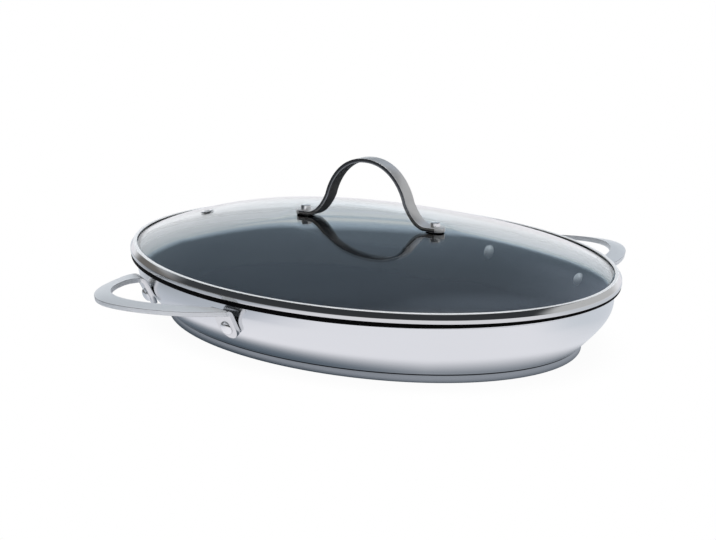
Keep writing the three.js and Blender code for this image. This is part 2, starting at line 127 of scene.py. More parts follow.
RIVET_Y = 52.4
RIVET_Z = 23.4
RIVET_HEAD = 4.4
RIVET_DOME = 2.6
RIVET_INNER = 3.8
RIVET_INNER_DOME = 3.3
RIVET_STAND = 1.8       # from the curved coating to the inner head
RIVET_GAP = 0.1         # under the outer head
RIVET_SHANK = 2.2
HANDLE_TIP = 181.6
HANDLE_TOP = 33.8
HANDLE_RISE = 1.4       # the tip of the loop sits this much higher than its roots
STRAP_WIDTH = 10.6
STRAP_TILT = math.radians(10)
STRAP_TILT_OVER = 16    # the loop tilts within this distance from the fold
STRAP_THICK = 2.8
STRAP_BEVEL = 0.7
TAB_WIDTH = 16
TAB_DOWN = 7.5
FOLD_RADIUS = 3
FOLD_FLAT = 3
FOLD_STEPS = 8
LOOP_STEPS = 26
ROUND_STEPS = 10        # along the round end of a strap


# Lines

def clamped(share):
    return min(1, max(0, share))


def bezier(a, b, c, d, steps):
    """Points of a cubic curve from a to d."""
    line = []
    for i in range(steps + 1):
        t = i / steps
        u = 1 - t
        weights = (u ** 3, 3 * u * u * t, 3 * u * t * t, t ** 3)
        line.append(tuple(sum(w * p[k] for w, p in zip(weights, (a, b, c, d))) for k in (0, 1)))
    return line


def arc(centre, radius, start, end, steps):
    """Points of a circle's arc, angles in degrees."""
    turn = [math.radians(start + (end - start) * i / steps) for i in range(steps + 1)]
    return [(centre[0] + radius * math.cos(a), centre[1] + radius * math.sin(a)) for a in turn]


def dome(radius, height, seat, steps=12):
    """Half the outline of a domed head, from its rim to the axis."""
    turn = [math.radians(90 * i / steps) for i in range(steps)]
    return [(radius * math.cos(a), seat + height * math.sin(a)) for a in turn] + [(0, seat + height)]


def round_end():
    """The round end of a strap from near its tip: how far out, and the share of the width."""
    turn = [math.radians(84 - 84 * i / ROUND_STEPS) for i in range(ROUND_STEPS + 1)]
    return [(math.sin(a), math.cos(a)) for a in turn]


def offset(line, distance):
    """The line moved sideways, to the left of its direction."""
    moved = []
    for i, (x, y) in enumerate(line):
        ax, ay = line[max(i - 1, 0)]
        bx, by = line[min(i + 1, len(line) - 1)]
        length = math.hypot(bx - ax, by - ay)
        moved.append((x - distance * (by - ay) / length, y + distance * (bx - ax) / length))
    return moved


def along(line, value, source, target):
    """The line's other coordinate where one of them has this value."""
    for a, b in zip(line, line[1:]):
        if (a[source] - value) * (b[source] - value) <= 0 and a[source] != b[source]:
            share = (value - a[source]) / (b[source] - a[source])
            return a[target] + (b[target] - a[target]) * share
    raise ValueError("the line doesn't reach %g" % value)


def oval_length(radius):
    """Half the length of the oval of this half width. A soft minimum keeps creases out of the glass."""
    share = radius / CORE
    blend = clamped(1.5 - share)
    return radius + STRETCH * (1 - blend + share * blend - 0.5 * blend * (1 - blend))


# Modelling

def pick(piece):
    bpy.ops.object.select_all(action="DESELECT")
    piece.select_set(True)
    bpy.context.view_layer.objects.active = piece


def remove(piece):
    pick(piece)
    bpy.ops.object.delete()


def close_up(piece, angle, fill=True):
    """Merges doubles, fills open ends, turns the faces outwards and sets the shading."""
    pick(piece)
    bpy.ops.object.mode_set(mode="EDIT")
    bpy.ops.mesh.select_mode(type="VERT")
    bpy.ops.mesh.select_all(action="SELECT")
    bpy.ops.mesh.remove_doubles(threshold=0.004 * MM)
    if fill:
        bpy.ops.mesh.fill_holes(sides=0)
    bpy.ops.mesh.select_all(action="SELECT")
    bpy.ops.mesh.normals_make_consistent(inside=False)
    bpy.ops.object.mode_set(mode="OBJECT")
    bpy.ops.object.shade_smooth_by_angle(angle=math.radians(angle))
    return piece


def drawn(name, profile, oval=True, steps=RING_STEPS, angle=35):
    """A circle drawn out ring by ring. Each point of the profile is a half width and a height; a profile
    that comes back to its first point closes, and one that ends on the axis gets a pole there."""
    bpy.ops.object.select_all(action="DESELECT")
    bpy.ops.mesh.primitive_circle_add(vertices=steps, radius=1)
    piece = bpy.context.object
    piece.name = piece.data.name = name
    bpy.ops.object.mode_set(mode="EDIT")
    bpy.ops.mesh.select_all(action="SELECT")
    wide, long, high = 1, 1, 0
    for i, (radius, height) in enumerate(profile):
        if i:
            bpy.ops.mesh.extrude_edges_move()
        bpy.ops.transform.translate(value=(0, 0, height * MM - high))
        high = height * MM
        if radius == 0:
            bpy.ops.mesh.merge(type="CENTER")
            break
        new_wide = radius * MM
        new_long = (oval_length(radius) if oval else radius) * MM
        size = (new_wide / wide, new_long / long, 1)
        bpy.ops.transform.resize(value=size, center_override=(0, 0, high))
        wide, long = new_wide, new_long
    bpy.ops.object.mode_set(mode="OBJECT")
    return close_up(piece, angle)


def turned(name, profile, steps=40):
    """A round piece of this profile."""
    return drawn(name, profile, oval=False, steps=steps)


def lowered(piece, name, weights, drop):
    """Moves vertices of the picked piece down by their weight times the drop."""
    group = piece.vertex_groups.new(name=name)
    for index, weight in weights.items():
        group.add([index], weight, "REPLACE")
    shift = piece.modifiers.new(name, "DISPLACE")
    shift.direction, shift.mid_level = "Z", 0
    shift.strength, shift.vertex_group = -drop * MM, name
    bpy.ops.object.modifier_apply(modifier=shift.name)
    piece.vertex_groups.remove(piece.vertex_groups[name])


def single_edge(name):
    """A piece of one edge along X, a metre long, its middle at the origin."""
    bpy.ops.object.select_all(action="DESELECT")
    bpy.ops.mesh.primitive_plane_add(size=1)
    piece = bpy.context.object
    piece.name = piece.data.name = name
    bpy.ops.object.mode_set(mode="EDIT")
    bpy.ops.mesh.select_mode(type="VERT")
    bpy.ops.mesh.select_all(action="DESELECT")
    bpy.ops.object.mode_set(mode="OBJECT")
    for vertex in piece.data.vertices:
        vertex.select = vertex.co.y > 0
    bpy.ops.object.mode_set(mode="EDIT")
    bpy.ops.mesh.delete(type="VERT")
    bpy.ops.mesh.select_all(action="SELECT")
    bpy.ops.transform.translate(value=(0, 0.5, 0))
    return piece


def tilted(piece, stations, drop, start, over):
    """Lowers the end of each edge that its direction points to and raises the other: not at all up to the
    x called start, and by the full drop from the distance called over on."""
    sides = {1: {}, -1: {}}
    for vertex in piece.data.vertices:
        point, direction, _ = min(stations, key=lambda s: (Vector(s[0]) * MM - vertex.co).length)
        away = vertex.co - Vector(point) * MM
        side = 1 if away.dot(Vector((math.cos(direction), math.sin(direction), 0))) > 0 else -1
        sides[side][vertex.index] = clamped((point[0] - start) / over)
    lowered(piece, "outer edge", sides[1], drop)
    lowered(piece, "inner edge", sides[-1], -drop)


def strip(name, stations, thick, bevel, tilt=None):
    """A strap: an edge pulled along from station to station, then given its thickness and soft edges.
    A station is the middle of the edge, the direction of the edge in plan and its width."""
    piece = single_edge(name)
    at, heading, width = Vector((0, 0, 0)), 0.0, 1.0
    for i, (point, direction, wide) in enumerate(stations):
        if i:
            bpy.ops.mesh.extrude_edges_move()
        new_at = Vector(point) * MM
        bpy.ops.transform.translate(value=new_at - at)
        bpy.ops.transform.rotate(value=heading - direction, orient_axis="Z", center_override=new_at)
        scale = wide * MM / width
        bpy.ops.transform.resize(value=(scale, scale, scale), center_override=new_at)
        at, heading, width = new_at, direction, wide * MM
    bpy.ops.mesh.select_all(action="SELECT")
    bpy.ops.mesh.normals_make_consistent(inside=False)
    bpy.ops.object.mode_set(mode="OBJECT")
    if tilt:
        tilted(piece, stations, *tilt)
    wall = piece.modifiers.new("thickness", "SOLIDIFY")
    wall.thickness = thick * MM
    wall.offset = 0
    wall.use_even_offset = True
    bpy.ops.object.modifier_apply(modifier=wall.name)
    soft = piece.modifiers.new("soft edges", "BEVEL")
    soft.width = bevel * MM
    soft.segments = 4
    soft.limit_method = "ANGLE"
    soft.angle_limit = math.radians(50)
    soft.use_clamp_overlap = True
    bpy.ops.object.modifier_apply(modifier=soft.name)
    return close_up(piece, 40, fill=False)


def put(piece, place):
    """Moves the piece by a matrix in millimetres and writes its place into the mesh."""
    pick(piece)
    matrix = place.copy()
    matrix.translation = place.translation * MM
    piece.matrix_world = matrix
    bpy.ops.object.transform_apply(location=True, rotation=True, scale=True)
    return piece


def copy_of(piece, name):
    pick(piece)
    bpy.ops.object.duplicate()
    made = bpy.context.object
    made.name = made.data.name = name
    return made


def drilled(piece, radius, low, high, place):
    """Takes a round hole out of the piece, from low to high on the axis of the place."""
    tool = put(turned("drill", [(radius, low), (radius, high)], steps=32), place)
    pick(piece)
    hole = piece.modifiers.new("hole", "BOOLEAN")
    hole.object = tool
    hole.operation = "DIFFERENCE"
    hole.solver = "EXACT"
    bpy.ops.object.modifier_apply(modifier=hole.name)
    remove(tool)


def placed(ex, ey, ez, at):
    return Matrix.Translation(at) @ Matrix((ex, ey, ez)).transposed().to_4x4()


# Finishes

class Value:
    """An output of a node that adds Math nodes where it stands in an expression."""

    def __init__(self, nodes, socket):
        self.nodes, self.socket = nodes, socket

    def math(self, operation, a, b):
        return self.nodes.add("ShaderNodeMath", {"operation": operation}, {0: a, 1: b})

    def __add__(self, other):
        return self.math("ADD", self, other)

    def __sub__(self, other):
        return self.math("SUBTRACT", self, other)

    def __rsub__(self, other):
        return self.math("SUBTRACT", other, self)

    def __mul__(self, other):
        return self.math("MULTIPLY", self, other)

    __radd__, __rmul__ = __add__, __mul__

    def most(self, other):
        return self.math("MAXIMUM", self, other)

    def between(self, low, high):
        """0 at low, 1 at high, smooth between them."""
        return self.nodes.add(
            "ShaderNodeMapRange",
            {"interpolation_type": "SMOOTHSTEP"},
            {"Value": self, "From Min": low, "From Max": high},
        )


class Nodes:
    """A node tree under construction."""

    def __init__(self, tree, output="ShaderNodeOutputMaterial"):
        self.tree, self.output = tree, output
        tree.nodes.clear()

    def add(self, kind, settings=None, sockets=None, output=0):
        """A node of this kind, with its settings, and the values or links of its sockets."""
        node = self.tree.nodes.new(kind)
        for name, value in (settings or {}).items():
            if name == "stops":
                ramp = node.color_ramp
                while len(ramp.elements) < len(value):
                    ramp.elements.new(0.5)
                for element, (position, colour) in zip(ramp.elements, value):
                    element.position, element.color = position, (*colour, 1)
            else:
                setattr(node, name, value)
        for name, value in (sockets or {}).items():
            if isinstance(value, Value):
                self.tree.links.new(value.socket, node.inputs[name])
            else:
                node.inputs[name].default_value = value
        return Value(self, node.outputs[output]) if node.outputs else None

    def surface(self, shader):
        self.add(self.output, {}, {"Surface": shader})

    def principled(self, sockets):
        return self.add("ShaderNodeBsdfPrincipled", {}, sockets)

    def mix(self, factor, a, b):
        """A colour between a and b."""
        return self.add("ShaderNodeMix", {"data_type": "RGBA"}, {0: factor, 6: a, 7: b}, output=2)

    def ramp(self, factor, stops):
        return self.add("ShaderNodeValToRGB", {"stops": stops}, {0: factor})

    def place(self, scale=(1, 1, 1)):
        """Object coordinates, stretched."""
        spot = self.add("ShaderNodeTexCoord", output="Object")
        return self.add("ShaderNodeMapping", {}, {"Vector": spot, "Scale": scale})

    def part(self, vector, axis):
        """One coordinate of a vector."""
        return self.add("ShaderNodeSeparateXYZ", {}, {0: vector}, output=axis)

    def towards(self, vector, direction):
        """How far a vector goes this way."""
        sockets = {0: vector, 1: direction}
        return self.add("ShaderNodeVectorMath", {"operation": "DOT_PRODUCT"}, sockets, output="Value")

    def ray(self, kind):
        """1 for rays of this kind, 0 for others."""
        return self.add("ShaderNodeLightPath", output="Is %s Ray" % kind)

    def noise(self, scale, detail=3, stretch=(1, 1, 1)):
        sockets = {"Vector": self.place(stretch), "Scale": scale, "Detail": detail}
        return self.add("ShaderNodeTexNoise", {}, sockets)

    def bump(self, height, strength, distance):
        sockets = {"Height": height, "Strength": strength, "Distance": distance}
        return self.add("ShaderNodeBump", {}, sockets)


def finish(name):
    material = bpy.data.materials.new(name)
    material.use_nodes = True
    return material, Nodes(material.node_tree)


def grey(level, warmth=0.0):
    """A colour near grey; warmth below zero is bluish."""
    return (level * (1 + warmth), level, level * (1 - warmth), 1)


def polished_steel(name, level, rough, warmth=-0.012):
    """Bright stainless steel: faint cloudy polish and hair-fine marks."""
    material, n = finish(name)
    cloud = n.noise(9, 4)
    hair = n.noise(900, 2, (0.06, 0.06, 1))
    sockets = {
        "Base Color": n.mix(cloud, grey(level * 0.97, warmth), grey(level * 1.02, warmth)),
        "Metallic": 1.0,
        "Roughness": cloud * 0.05 + hair * 0.03 + (rough - 0.04),
        "Normal": n.bump(hair, 0.02, 0.0004),
    }
    n.surface(n.principled(sockets))
    return material


def satin_steel(name, level, rough, warmth=-0.01, metal=1.0, shaded_joint=None):
    """Brushed satin steel: short fine grain, and a line of painted shade just below the height of a joint,
    standing in for the shaded groove there.
    """
    material, n = finish(name)
    grain = n.noise(1400, 3, (1, 0.12, 1))
    cloud = n.noise(22, 3)
    colour = n.mix(grain, grey(level * 0.95, warmth), grey(level * 1.04, warmth))
    if shaded_joint:
        # painted shade: near-black just below the joint
        line = n.part(n.place(), "Z").between((shaded_joint - 0.95) * MM, (shaded_joint - 0.6) * MM)
        colour = n.mix(line, colour, (0.02, 0.022, 0.025, 1))
    sockets = {
        "Base Color": colour,
        "Metallic": metal,
        "Roughness": grain * 0.08 + cloud * 0.05 + (rough - 0.06),
        "Normal": n.bump(grain, 0.06, 0.0003),
    }
    n.surface(n.principled(sockets))
    return material


def coated(name):
    """Dark non-stick coating: fine speckle and an even sheen, thinning out at its upper edge."""
    material, n = finish(name)
    speck = n.noise(1800, 2)
    cloud = n.noise(14, 3)
    wavy_height = n.part(n.place(), "Z") + (n.noise(60, 2) - 0.5) * 0.0006
    dark, pale = (0.010, 0.013, 0.018, 1), (0.021, 0.027, 0.035, 1)
    sockets = {
        "Base Color": n.mix(speck.between(0.45, 0.75), dark, pale),
        "Roughness": cloud * 0.10 + 0.36,
        "Specular IOR Level": 0.2,
        "Alpha": wavy_height.between(COAT_TOP * MM, (COAT_TOP - COAT_FADE) * MM),
        "Normal": n.bump(speck, 0.10, 0.0002),
    }
    n.surface(n.principled(sockets))
    return material


def rubber(name):
    """Matt black silicone."""
    material, n = finish(name)
    grain = n.noise(700, 3)
    sockets = {
        "Base Color": n.mix(grain, (0.0012, 0.0012, 0.0014, 1), (0.003, 0.003, 0.003, 1)),
        "Roughness": grain * 0.15 + 0.5,
        "Specular IOR Level": 0.02,
        "Normal": n.bump(grain, 0.05, 0.0002),
    }
    n.surface(n.principled(sockets))
    return material


def clear_glass(name):
    """Clear tempered glass that lets the lamp through to what is under it."""
    material, n = finish(name)
    sockets = {
        "Base Color": (0.93, 0.965, 0.975, 1),
        "Roughness": n.noise(6, 3).between(0.35, 0.75) * 0.012,
        "IOR": 1.46,
        "Transmission Weight": 1.0,
    }
    glass = n.principled(sockets)
    through = n.add("ShaderNodeBsdfTransparent", {}, {"Color": (0.86, 0.90, 0.92, 1)})
    n.surface(n.add("ShaderNodeMixShader", {}, {0: n.ray("Shadow"), 1: glass, 2: through}))
    return material


# The pan

wall_foot = (FOOT_RADIUS, BASE_HEIGHT + FOOT_RISE)
wall_top = (WALL_RADIUS, wall_foot[1] + WALL_CURVED * (PAN_HEIGHT - LIP_THICK - wall_foot[1]))
run, rise = wall_top[0] - wall_foot[0], wall_top[1] - wall_foot[1]
wall_curve = bezier(
    wall_foot,
    (wall_foot[0] + 0.65 * run, wall_foot[1] + 0.44 * rise),
    (wall_top[0], wall_top[1] - 0.33 * rise),
    wall_top,
    28,
)
wall_line = wall_curve + [(WALL_RADIUS, PAN_HEIGHT - LIP_THICK - LIP_HOLLOW)]


def inside(gap):
    """The line of the floor and the wall inside the pan, this far off the steel."""
    wall = offset(wall_line, WALL_THICK + gap)
    floor = BASE_HEIGHT + WALL_THICK + gap
    corner = FOOT_RADIUS - FLOOR_CORNER
    hollow = bezier((corner, floor), (corner + 2.6, floor), wall[0], wall[2], 8)
    return [(CORE, floor), (FLOOR_RING, floor)] + hollow[:-1] + wall[2:]


lip_out = WALL_RADIUS + LIP_REACH
lip_in = WALL_RADIUS - WALL_THICK
lip_round = LIP_THICK / 2
pan_under = BASE_HEIGHT + 0.02      # just off the base
pan_profile = (
    [(FLOOR_RING, pan_under), (FOOT_RADIUS - 1.2, pan_under), (FOOT_RADIUS - 0.35, BASE_HEIGHT + 0.2)]
    + wall_line
    + arc((lip_out - lip_round, PAN_HEIGHT - lip_round), lip_round, -90, 90, 8)
    + arc((lip_in + LIP_EDGE, PAN_HEIGHT - LIP_EDGE), LIP_EDGE, 90, 180, 4)
    + inside(0)[::-1]
    + [(0, BASE_HEIGHT + WALL_THICK)]
)
pan_shell = drawn("pan_shell", pan_profile)

coat_low = [p for p in inside(COAT_GAP) if p[1] < COAT_TOP - 0.2]
coat_low.append((along(inside(COAT_GAP), COAT_TOP, 1, 0), COAT_TOP))
coat_high = [p for p in inside(COAT_GAP + COAT_THICK) if p[1] < COAT_TOP - COAT_TAPER]
coat_profile = coat_low + coat_high[::-1] + [(0, coat_high[0][1])]
coat_skin = drawn("coat_skin", coat_profile)

base_profile = (
    [(CORE, 0)]
    + arc((BASE_RADIUS - BASE_FILLET, BASE_FILLET), BASE_FILLET, -90, 0, 6)
    + arc((BASE_RADIUS - BASE_EDGE, BASE_HEIGHT - BASE_EDGE), BASE_EDGE, 0, 90, 4)
    + [(BASE_RADIUS - 4, BASE_HEIGHT)]
)
base_disc = drawn("base_disc", base_profile)


# Side handles: from the tab on the wall over the fold and round the loop

def tab_frame():
    """Where the rear tab of the +X handle meets the wall, and the directions out of, along and up it."""
    radius = along(wall_line, RIVET_Z, 1, 0)
    long = oval_length(radius)
    x = radius * math.sqrt(1 - (RIVET_Y / long) ** 2)
    out = Vector((x / radius ** 2, RIVET_Y / long ** 2, 0)).normalized()
    run = along(wall_line, RIVET_Z + 2, 1, 0) - along(wall_line, RIVET_Z - 2, 1, 0)
    lean = math.atan2(run, 4)
    up = Vector((0, 0, math.cos(lean))) + out * math.sin(lean)
    normal = Vector((0, 0, -math.sin(lean))) + out * math.cos(lean)
    side = Vector((-out.y, out.x, 0))
    return Vector((x, RIVET_Y, RIVET_Z)), out, side, up, normal, lean


TAB_AT, TAB_OUT, TAB_SIDE, TAB_UP, TAB_NORMAL, TAB_LEAN = tab_frame()


def half_handle():
    """Stations from the rear tab's lower end to the tip of the loop, and the index of the fold's end."""
    heading = math.atan2(TAB_SIDE.y, TAB_SIDE.x)
    stand = CLEAR + STRAP_THICK / 2
    middle = HANDLE_TOP - STRAP_THICK / 2
    rise = middle - RIVET_Z + (stand + FOLD_RADIUS) * math.sin(TAB_LEAN) - FOLD_RADIUS
    tab_up = rise / math.cos(TAB_LEAN)
    foot = TAB_AT + TAB_NORMAL * stand
    stations = [
        (foot - TAB_UP * TAB_DOWN * down, heading, TAB_WIDTH * share) for down, share in round_end()
    ]
    stations.append((foot + TAB_UP * tab_up * 0.5, heading, TAB_WIDTH))
    centre = foot + TAB_UP * tab_up + TAB_NORMAL * FOLD_RADIUS
    start = math.pi - TAB_LEAN
    for i in range(FOLD_STEPS + 1):
        a = start + (math.pi / 2 - start) * i / FOLD_STEPS
        point = centre + TAB_OUT * FOLD_RADIUS * math.cos(a)
        stations.append((point + Vector((0, 0, FOLD_RADIUS * math.sin(a))), heading, TAB_WIDTH))
    fold_end = len(stations) - 1
    root = centre + TAB_OUT * FOLD_FLAT / 2
    half = TAB_WIDTH / 2
    outer_root = (root.x + half * TAB_SIDE.x, root.y + half * TAB_SIDE.y)
    inner_root = (root.x - half * TAB_SIDE.x, root.y - half * TAB_SIDE.y)
    far = HANDLE_TIP - root.x
    tip_in = HANDLE_TIP - STRAP_WIDTH
    outer = bezier(
        outer_root,
        (root.x + 0.32 * far, outer_root[1] * 0.89),
        (HANDLE_TIP, outer_root[1] * 0.43),
        (HANDLE_TIP, 0),
        LOOP_STEPS,
    )
    inner = bezier(
        inner_root,
        (root.x + 0.29 * far, inner_root[1] * 0.91),
        (tip_in, inner_root[1] * 0.47),
        (tip_in, 0),
        LOOP_STEPS,
    )
    for (ox, oy), (ix, iy) in zip(outer, inner):
        x = (ox + ix) / 2
        z = middle + HANDLE_RISE * (x - root.x) / far
        direction = math.atan2(oy - iy, ox - ix)
        stations.append(((x, (oy + iy) / 2, z), direction, math.hypot(ox - ix, oy - iy)))
    return stations, fold_end


rear_half, fold_end = half_handle()
front_half = [((p[0], -p[1], p[2]), -a, w) for p, a, w in rear_half[-2::-1]]
edge_drop = STRAP_WIDTH / 2 * math.tan(STRAP_TILT)
tilt = (edge_drop, rear_half[fold_end + 1][0][0], STRAP_TILT_OVER)
loop_right = strip("loop_right", rear_half + front_half, STRAP_THICK, STRAP_BEVEL, tilt)
HALF_TURN = Matrix.Rotation(math.pi, 4, "Z")
loop_left = put(copy_of(loop_right, "loop_left"), HALF_TURN)

# Rivets: a domed head outside, a button inside
inner_seat = -(WALL_THICK + COAT_GAP + COAT_THICK + RIVET_STAND)
outer_seat = CLEAR + STRAP_THICK + RIVET_GAP
rivet_profile = (
    dome(RIVET_INNER, -RIVET_INNER_DOME, inner_seat)[-2::-1]
    + [(RIVET_SHANK, inner_seat), (RIVET_SHANK, outer_seat)]
    + dome(RIVET_HEAD, RIVET_DOME, outer_seat)
)
FLIP = Matrix.Scale(-1, 4, (0, 1, 0))
rear_rivet = placed(TAB_SIDE, TAB_UP, TAB_NORMAL, TAB_AT)
front_rivet = placed(*[FLIP @ v for v in (-TAB_SIDE, TAB_UP, TAB_NORMAL)], FLIP @ TAB_AT)
rivet_places = {
    "right_rear": rear_rivet,
    "right_front": front_rivet,
    "left_front": HALF_TURN @ rear_rivet,
    "left_rear": HALF_TURN @ front_rivet,
}
stud = turned("stud", rivet_profile, steps=48)
studs = {end: put(copy_of(stud, "stud_" + end), at) for end, at in rivet_places.items()}
remove(stud)


# The lid

seal_in = lip_in - SEAL_REACH
seal_low = PAN_HEIGHT - SEAL_DROP
seal_profile = [
    (seal_in, PAN_HEIGHT + SEAL_GAP),
    (lip_out + CLEAR, PAN_HEIGHT + SEAL_GAP),
    (lip_out + CLEAR, seal_low),
    *arc((SEAL_RADIUS - SEAL_EDGE, seal_low + SEAL_EDGE), SEAL_EDGE, -90, 0, 4),
    (SEAL_RADIUS, BAND_BOTTOM - 0.02),
    (seal_in, BAND_BOTTOM - 0.02),
]
seal_ring = drawn("seal_ring", seal_profile + seal_profile[:1])
pick(seal_ring)
pressed = {
    v.index: clamped((Vector(ASIDE).dot(v.co) / MM - PRESSED_FROM) / PRESSED_OVER)
    for v in seal_ring.data.vertices
    if v.co.z < (PAN_HEIGHT - 0.5) * MM     # the lowest rings, outside the lip
}
lowered(seal_ring, "pressed", pressed, -SEAL_PRESSED)
bpy.ops.object.shade_smooth_by_angle(angle=math.radians(35))

flange = LID_RADIUS - BAND_FLANGE
bead_at = (LID_RADIUS - BAND_INSET - BAND_BEAD, BAND_TOP - BAND_BEAD)
band_outer = (
    [(flange, BAND_BOTTOM)]
    + arc((LID_RADIUS - BAND_FILLET, BAND_BOTTOM + BAND_FILLET), BAND_FILLET, -90, 0, 5)
    + arc((LID_RADIUS - BAND_BEND, BAND_NECK), BAND_BEND, 0, 24, 5)
    + arc(bead_at, BAND_BEAD, 28, 90, 9)
    + arc((flange + BAND_INNER_EDGE, BAND_TOP - BAND_INNER_EDGE), BAND_INNER_EDGE, 90, 180, 4)
)
band_inner = [
    (flange, BAND_TOP - BAND_THICK),
    (bead_at[0], BAND_TOP - BAND_THICK),
    (LID_RADIUS - BAND_THICK, BAND_NECK - 0.4),
    (LID_RADIUS - BAND_THICK, BAND_BOTTOM + BAND_THICK),
    (flange, BAND_BOTTOM + BAND_THICK),
]
band_profile = band_outer + band_inner
rim_band = drawn("rim_band", band_profile + band_profile[:1])

glass_edge = LID_RADIUS - BAND_THICK - CLEAR
glass_low = GLASS_TOP - GLASS_THICK
brim = flange - BRIM_INSET
fall = brim - CROWN_RADIUS
dome_rise = CROWN_TOP - GLASS_TOP
crown_edge = CROWN_TOP - CROWN_FALL
shoulder = bezier(
    (brim, GLASS_TOP),
    (brim - 0.18 * fall, GLASS_TOP + 0.374 * dome_rise),
    (CROWN_RADIUS + 0.29 * fall, CROWN_TOP - 0.046 * dome_rise - CROWN_FALL),
    (CROWN_RADIUS, crown_edge),
    44,
)
crown = [(r, crown_edge + CROWN_BULGE * (1 - (r / CROWN_RADIUS) ** 2)) for r in range(36, -1, -4)]
under = [p for p in offset(shoulder, GLASS_THICK) if p[1] > glass_low + 0.3 and p[0] < flange - 2]
under_crown = [(r, z - GLASS_THICK) for r, z in crown[-2::-1]]
glass_profile = (
    under_crown
    + under[:-1][::-1]
    + [(under[0][0] + 1.2, glass_low), (flange - 0.8, glass_low), (glass_edge - 1.7, glass_low)]
    + [(glass_edge - 0.4, glass_low + 0.4), (glass_edge - 0.5, BAND_NECK - 0.6)]
    + [(glass_edge - 2.1, GLASS_TOP - 0.5), (glass_edge - 2.7, GLASS_TOP)]
    + shoulder
    + crown
)
glass_dome = drawn("glass_dome", glass_profile, angle=50)


def glass_height(x, y):
    """The height of the glass at a point of the plan, from the oval that goes through it."""
    low, high = 1.0, LID_RADIUS
    for _ in range(40):
        middle = (low + high) / 2
        if (x / middle) ** 2 + (y / oval_length(middle)) ** 2 > 1:
            low = middle
        else:
            high = middle
    return along(shoulder + crown, low, 0, 1)


def on_glass(x, y):
    """A place on the glass, its third axis along the normal."""
    slope_x = (glass_height(x + 3, y) - glass_height(x - 3, y)) / 6
    slope_y = (glass_height(x, y + 3) - glass_height(x, y - 3)) / 6
    out = Vector((-slope_x, -slope_y, 1)).normalized()
    ex = Vector((1, 0, slope_x)).normalized()
    return placed(ex, out.cross(ex), out, Vector((x, y, glass_height(x, y))))


arch_line = Vector((math.cos(ARCH_TURN), math.sin(ARCH_TURN), 0))
arch_side = Vector((-arch_line.y, arch_line.x, 0))
screw_spots = {"rear": arch_line * -ARCH_SPAN, "front": arch_line * ARCH_SPAN}
vent_spot = arch_line * -VENT_AT
vent_place = on_glass(vent_spot.x, vent_spot.y)
screw_hole = SCREW_RADIUS + CLEAR
for spot in screw_spots.values():
    drilled(glass_dome, screw_hole, 0, 90, Matrix.Translation(spot))
drilled(glass_dome, VENT_HOLE, -12, 12, vent_place)
pick(glass_dome)
bpy.ops.object.shade_smooth_by_angle(angle=math.radians(50))

# Lid handle: half of its middle line in the plane of the arch, then the same mirrored
foot_bottom = CROWN_TOP + WASHER_THICK
arch_end = ARCH_SPAN + FOOT_TIP
arch_mid = foot_bottom + ARCH_THICK / 2
arch_top = foot_bottom + ARCH_HEIGHT - ARCH_THICK / 2
arch_rise = arch_top - arch_mid
bend = ARCH_SPAN - SCREW_HEAD - FOOT_FLAT
knee = (ARCH_SPAN * 0.6, arch_mid + 0.36 * arch_rise)
arch_lower = bezier(
    (bend, arch_mid),
    (bend - 6, arch_mid),
    (knee[0] + 3.6, knee[1] - 0.2 * arch_rise),
    knee,
    16,
)
arch_upper = bezier(
    knee,
    (knee[0] - 3.5, knee[1] + 0.33 * arch_rise),
    (ARCH_SPAN * 0.33, arch_top),
    (0, arch_top),
    22,
)
half_width = ARCH_WIDTH / 2
arch_half = [
    (arch_end - half_width + half_width * out, arch_mid, ARCH_WIDTH * share) for out, share in round_end()
]
arch_half += [(x, z, ARCH_WIDTH) for x, z in arch_lower + arch_upper[1:]]
arch_path = arch_half + [(-x, z, w) for x, z, w in arch_half[-2::-1]]
arch_heading = ARCH_TURN + math.pi / 2
arch_stations = [(arch_line * x + Vector((0, 0, z)), arch_heading, w) for x, z, w in arch_path]
lid_arch = strip("lid_arch", arch_stations, ARCH_THICK, ARCH_BEVEL)

# Fasteners and vent
screw_seat = foot_bottom + ARCH_THICK
head_top = screw_seat + SCREW_HEIGHT
nut_top = CROWN_TOP - GLASS_THICK - WASHER_THICK
nut_low = nut_top - NUT_HEIGHT
screw_end = nut_low + NUT_CAP
screw_profile = (
    [(SCREW_RADIUS, screw_end), (SCREW_RADIUS, screw_seat), (SCREW_HEAD, screw_seat)]
    + arc((SCREW_HEAD - SCREW_EDGE, head_top - SCREW_EDGE), SCREW_EDGE, 0, 90, 5)
    + [(0, head_top)]
)
washer_rim = WASHER_RADIUS - WASHER_EDGE
washer_profile = [
    (screw_hole, 0),
    *arc((washer_rim, WASHER_EDGE), WASHER_EDGE, -90, 0, 4),
    *arc((washer_rim, WASHER_THICK - WASHER_EDGE), WASHER_EDGE, 0, 90, 4),
    (screw_hole, WASHER_THICK),
]
nut_profile = (
    [(screw_hole, screw_end - CLEAR), (screw_hole, nut_top), (NUT_RADIUS, nut_top)]
    + dome(NUT_RADIUS, -NUT_DOME, nut_low + NUT_DOME, steps=10)
)
vent_top, vent_low = VENT_GAP, -GLASS_THICK - VENT_GAP
rim_round = VENT_RIM_THICK / 2
vent_profile = (
    [(VENT_EYE, vent_low - VENT_RIM_THICK), (VENT_RIM, vent_low - VENT_RIM_THICK), (VENT_RIM, vent_low)]
    + [(VENT_TUBE, vent_low), (VENT_TUBE, vent_top)]
    + arc((VENT_RIM - rim_round, vent_top + rim_round), rim_round, -90, 90, 6)
    + arc((VENT_EYE + VENT_EYE_EDGE, vent_top + 0.3), VENT_EYE_EDGE, 90, 180, 4)
)
vent_ring = put(turned("vent_ring", vent_profile + vent_profile[:1]), vent_place)

